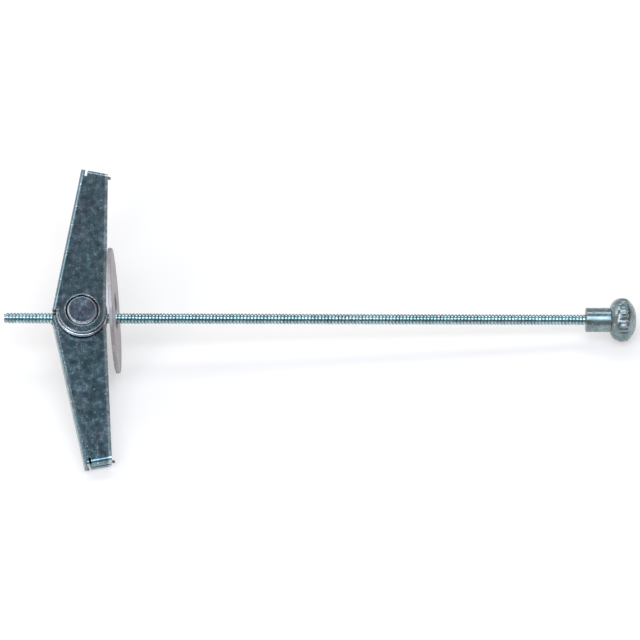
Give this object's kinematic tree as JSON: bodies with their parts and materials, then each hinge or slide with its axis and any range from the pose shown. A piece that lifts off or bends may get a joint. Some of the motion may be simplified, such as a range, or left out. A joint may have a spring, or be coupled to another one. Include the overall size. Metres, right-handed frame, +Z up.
{
  "type": "spring toggle bolt",
  "caption": "Spring toggle bolt: threaded rod with a sprung two-wing toggle, a loose wide washer and a knurled round knob nut, for fixing to hollow walls.",
  "frame": {"origin": "under the middle of the whole bolt, on the table that it lies on", "axes": "+X along the rod from its tail to the knob, +Z up"},
  "size_m": [0.2366, 0.117, 0.047],
  "materials": {
    "zinc_rod": "rolled thread, zinc plated, blue passivated",
    "zinc_pin": "turned, zinc plated, blue passivated",
    "zinc_wing": "folded sheet, zinc plated, blue passivated, tumbled",
    "spring_wire": "drawn wire, bright",
    "zinc_washer": "stamped, zinc plated, satin",
    "zinc_knob": "turned and knurled, zinc plated, bright"
  },
  "bodies": {
    "toggle": {"trunnion_nut": "zinc_pin", "torsion_spring": "spring_wire"},
    "rod": {"threaded_rod": "zinc_rod", "knurled_knob": "zinc_knob"},
    "outer_wing": {"outer_wing": "zinc_wing"},
    "inner_wing": {"inner_wing": "zinc_wing"},
    "washer": {"washer": "zinc_washer"}
  },
  "joints": [
    {"name": "rod_turn", "type": "hinge", "parent": "toggle", "child": "rod", "pos_m": [-0.08931, 0.00076, 0.01958], "axis": [0.9984, 0, -0.0559], "continuous": true},
    {"name": "outer_wing_fold", "type": "hinge", "parent": "toggle", "child": "outer_wing", "pos_m": [-0.08931, 0.00076, 0.01958], "axis": [-0.0539, 0.2702, -0.9613], "range_deg": [0, 75], "stiffness_Nm_per_rad": 0.03, "springref_deg": -34.38, "deforming": ["torsion_spring"]},
    {"name": "inner_wing_fold", "type": "hinge", "parent": "toggle", "child": "inner_wing", "pos_m": [-0.08931, 0.00076, 0.01958], "axis": [0.0539, -0.2702, 0.9613], "range_deg": [0, 75], "deforming": ["torsion_spring"]},
    {"name": "washer_slide", "type": "slide", "parent": "toggle", "child": "washer", "axis": [0.9984, 0, -0.0559], "range_m": [0, 0.058]}
  ],
  "couplings": [
    {"joint": "inner_wing_fold", "follows": "outer_wing_fold", "ratio": 1},
    {"joint": "washer_slide", "follows": "outer_wing_fold", "m_per_rad": 0.044308}
  ]
}
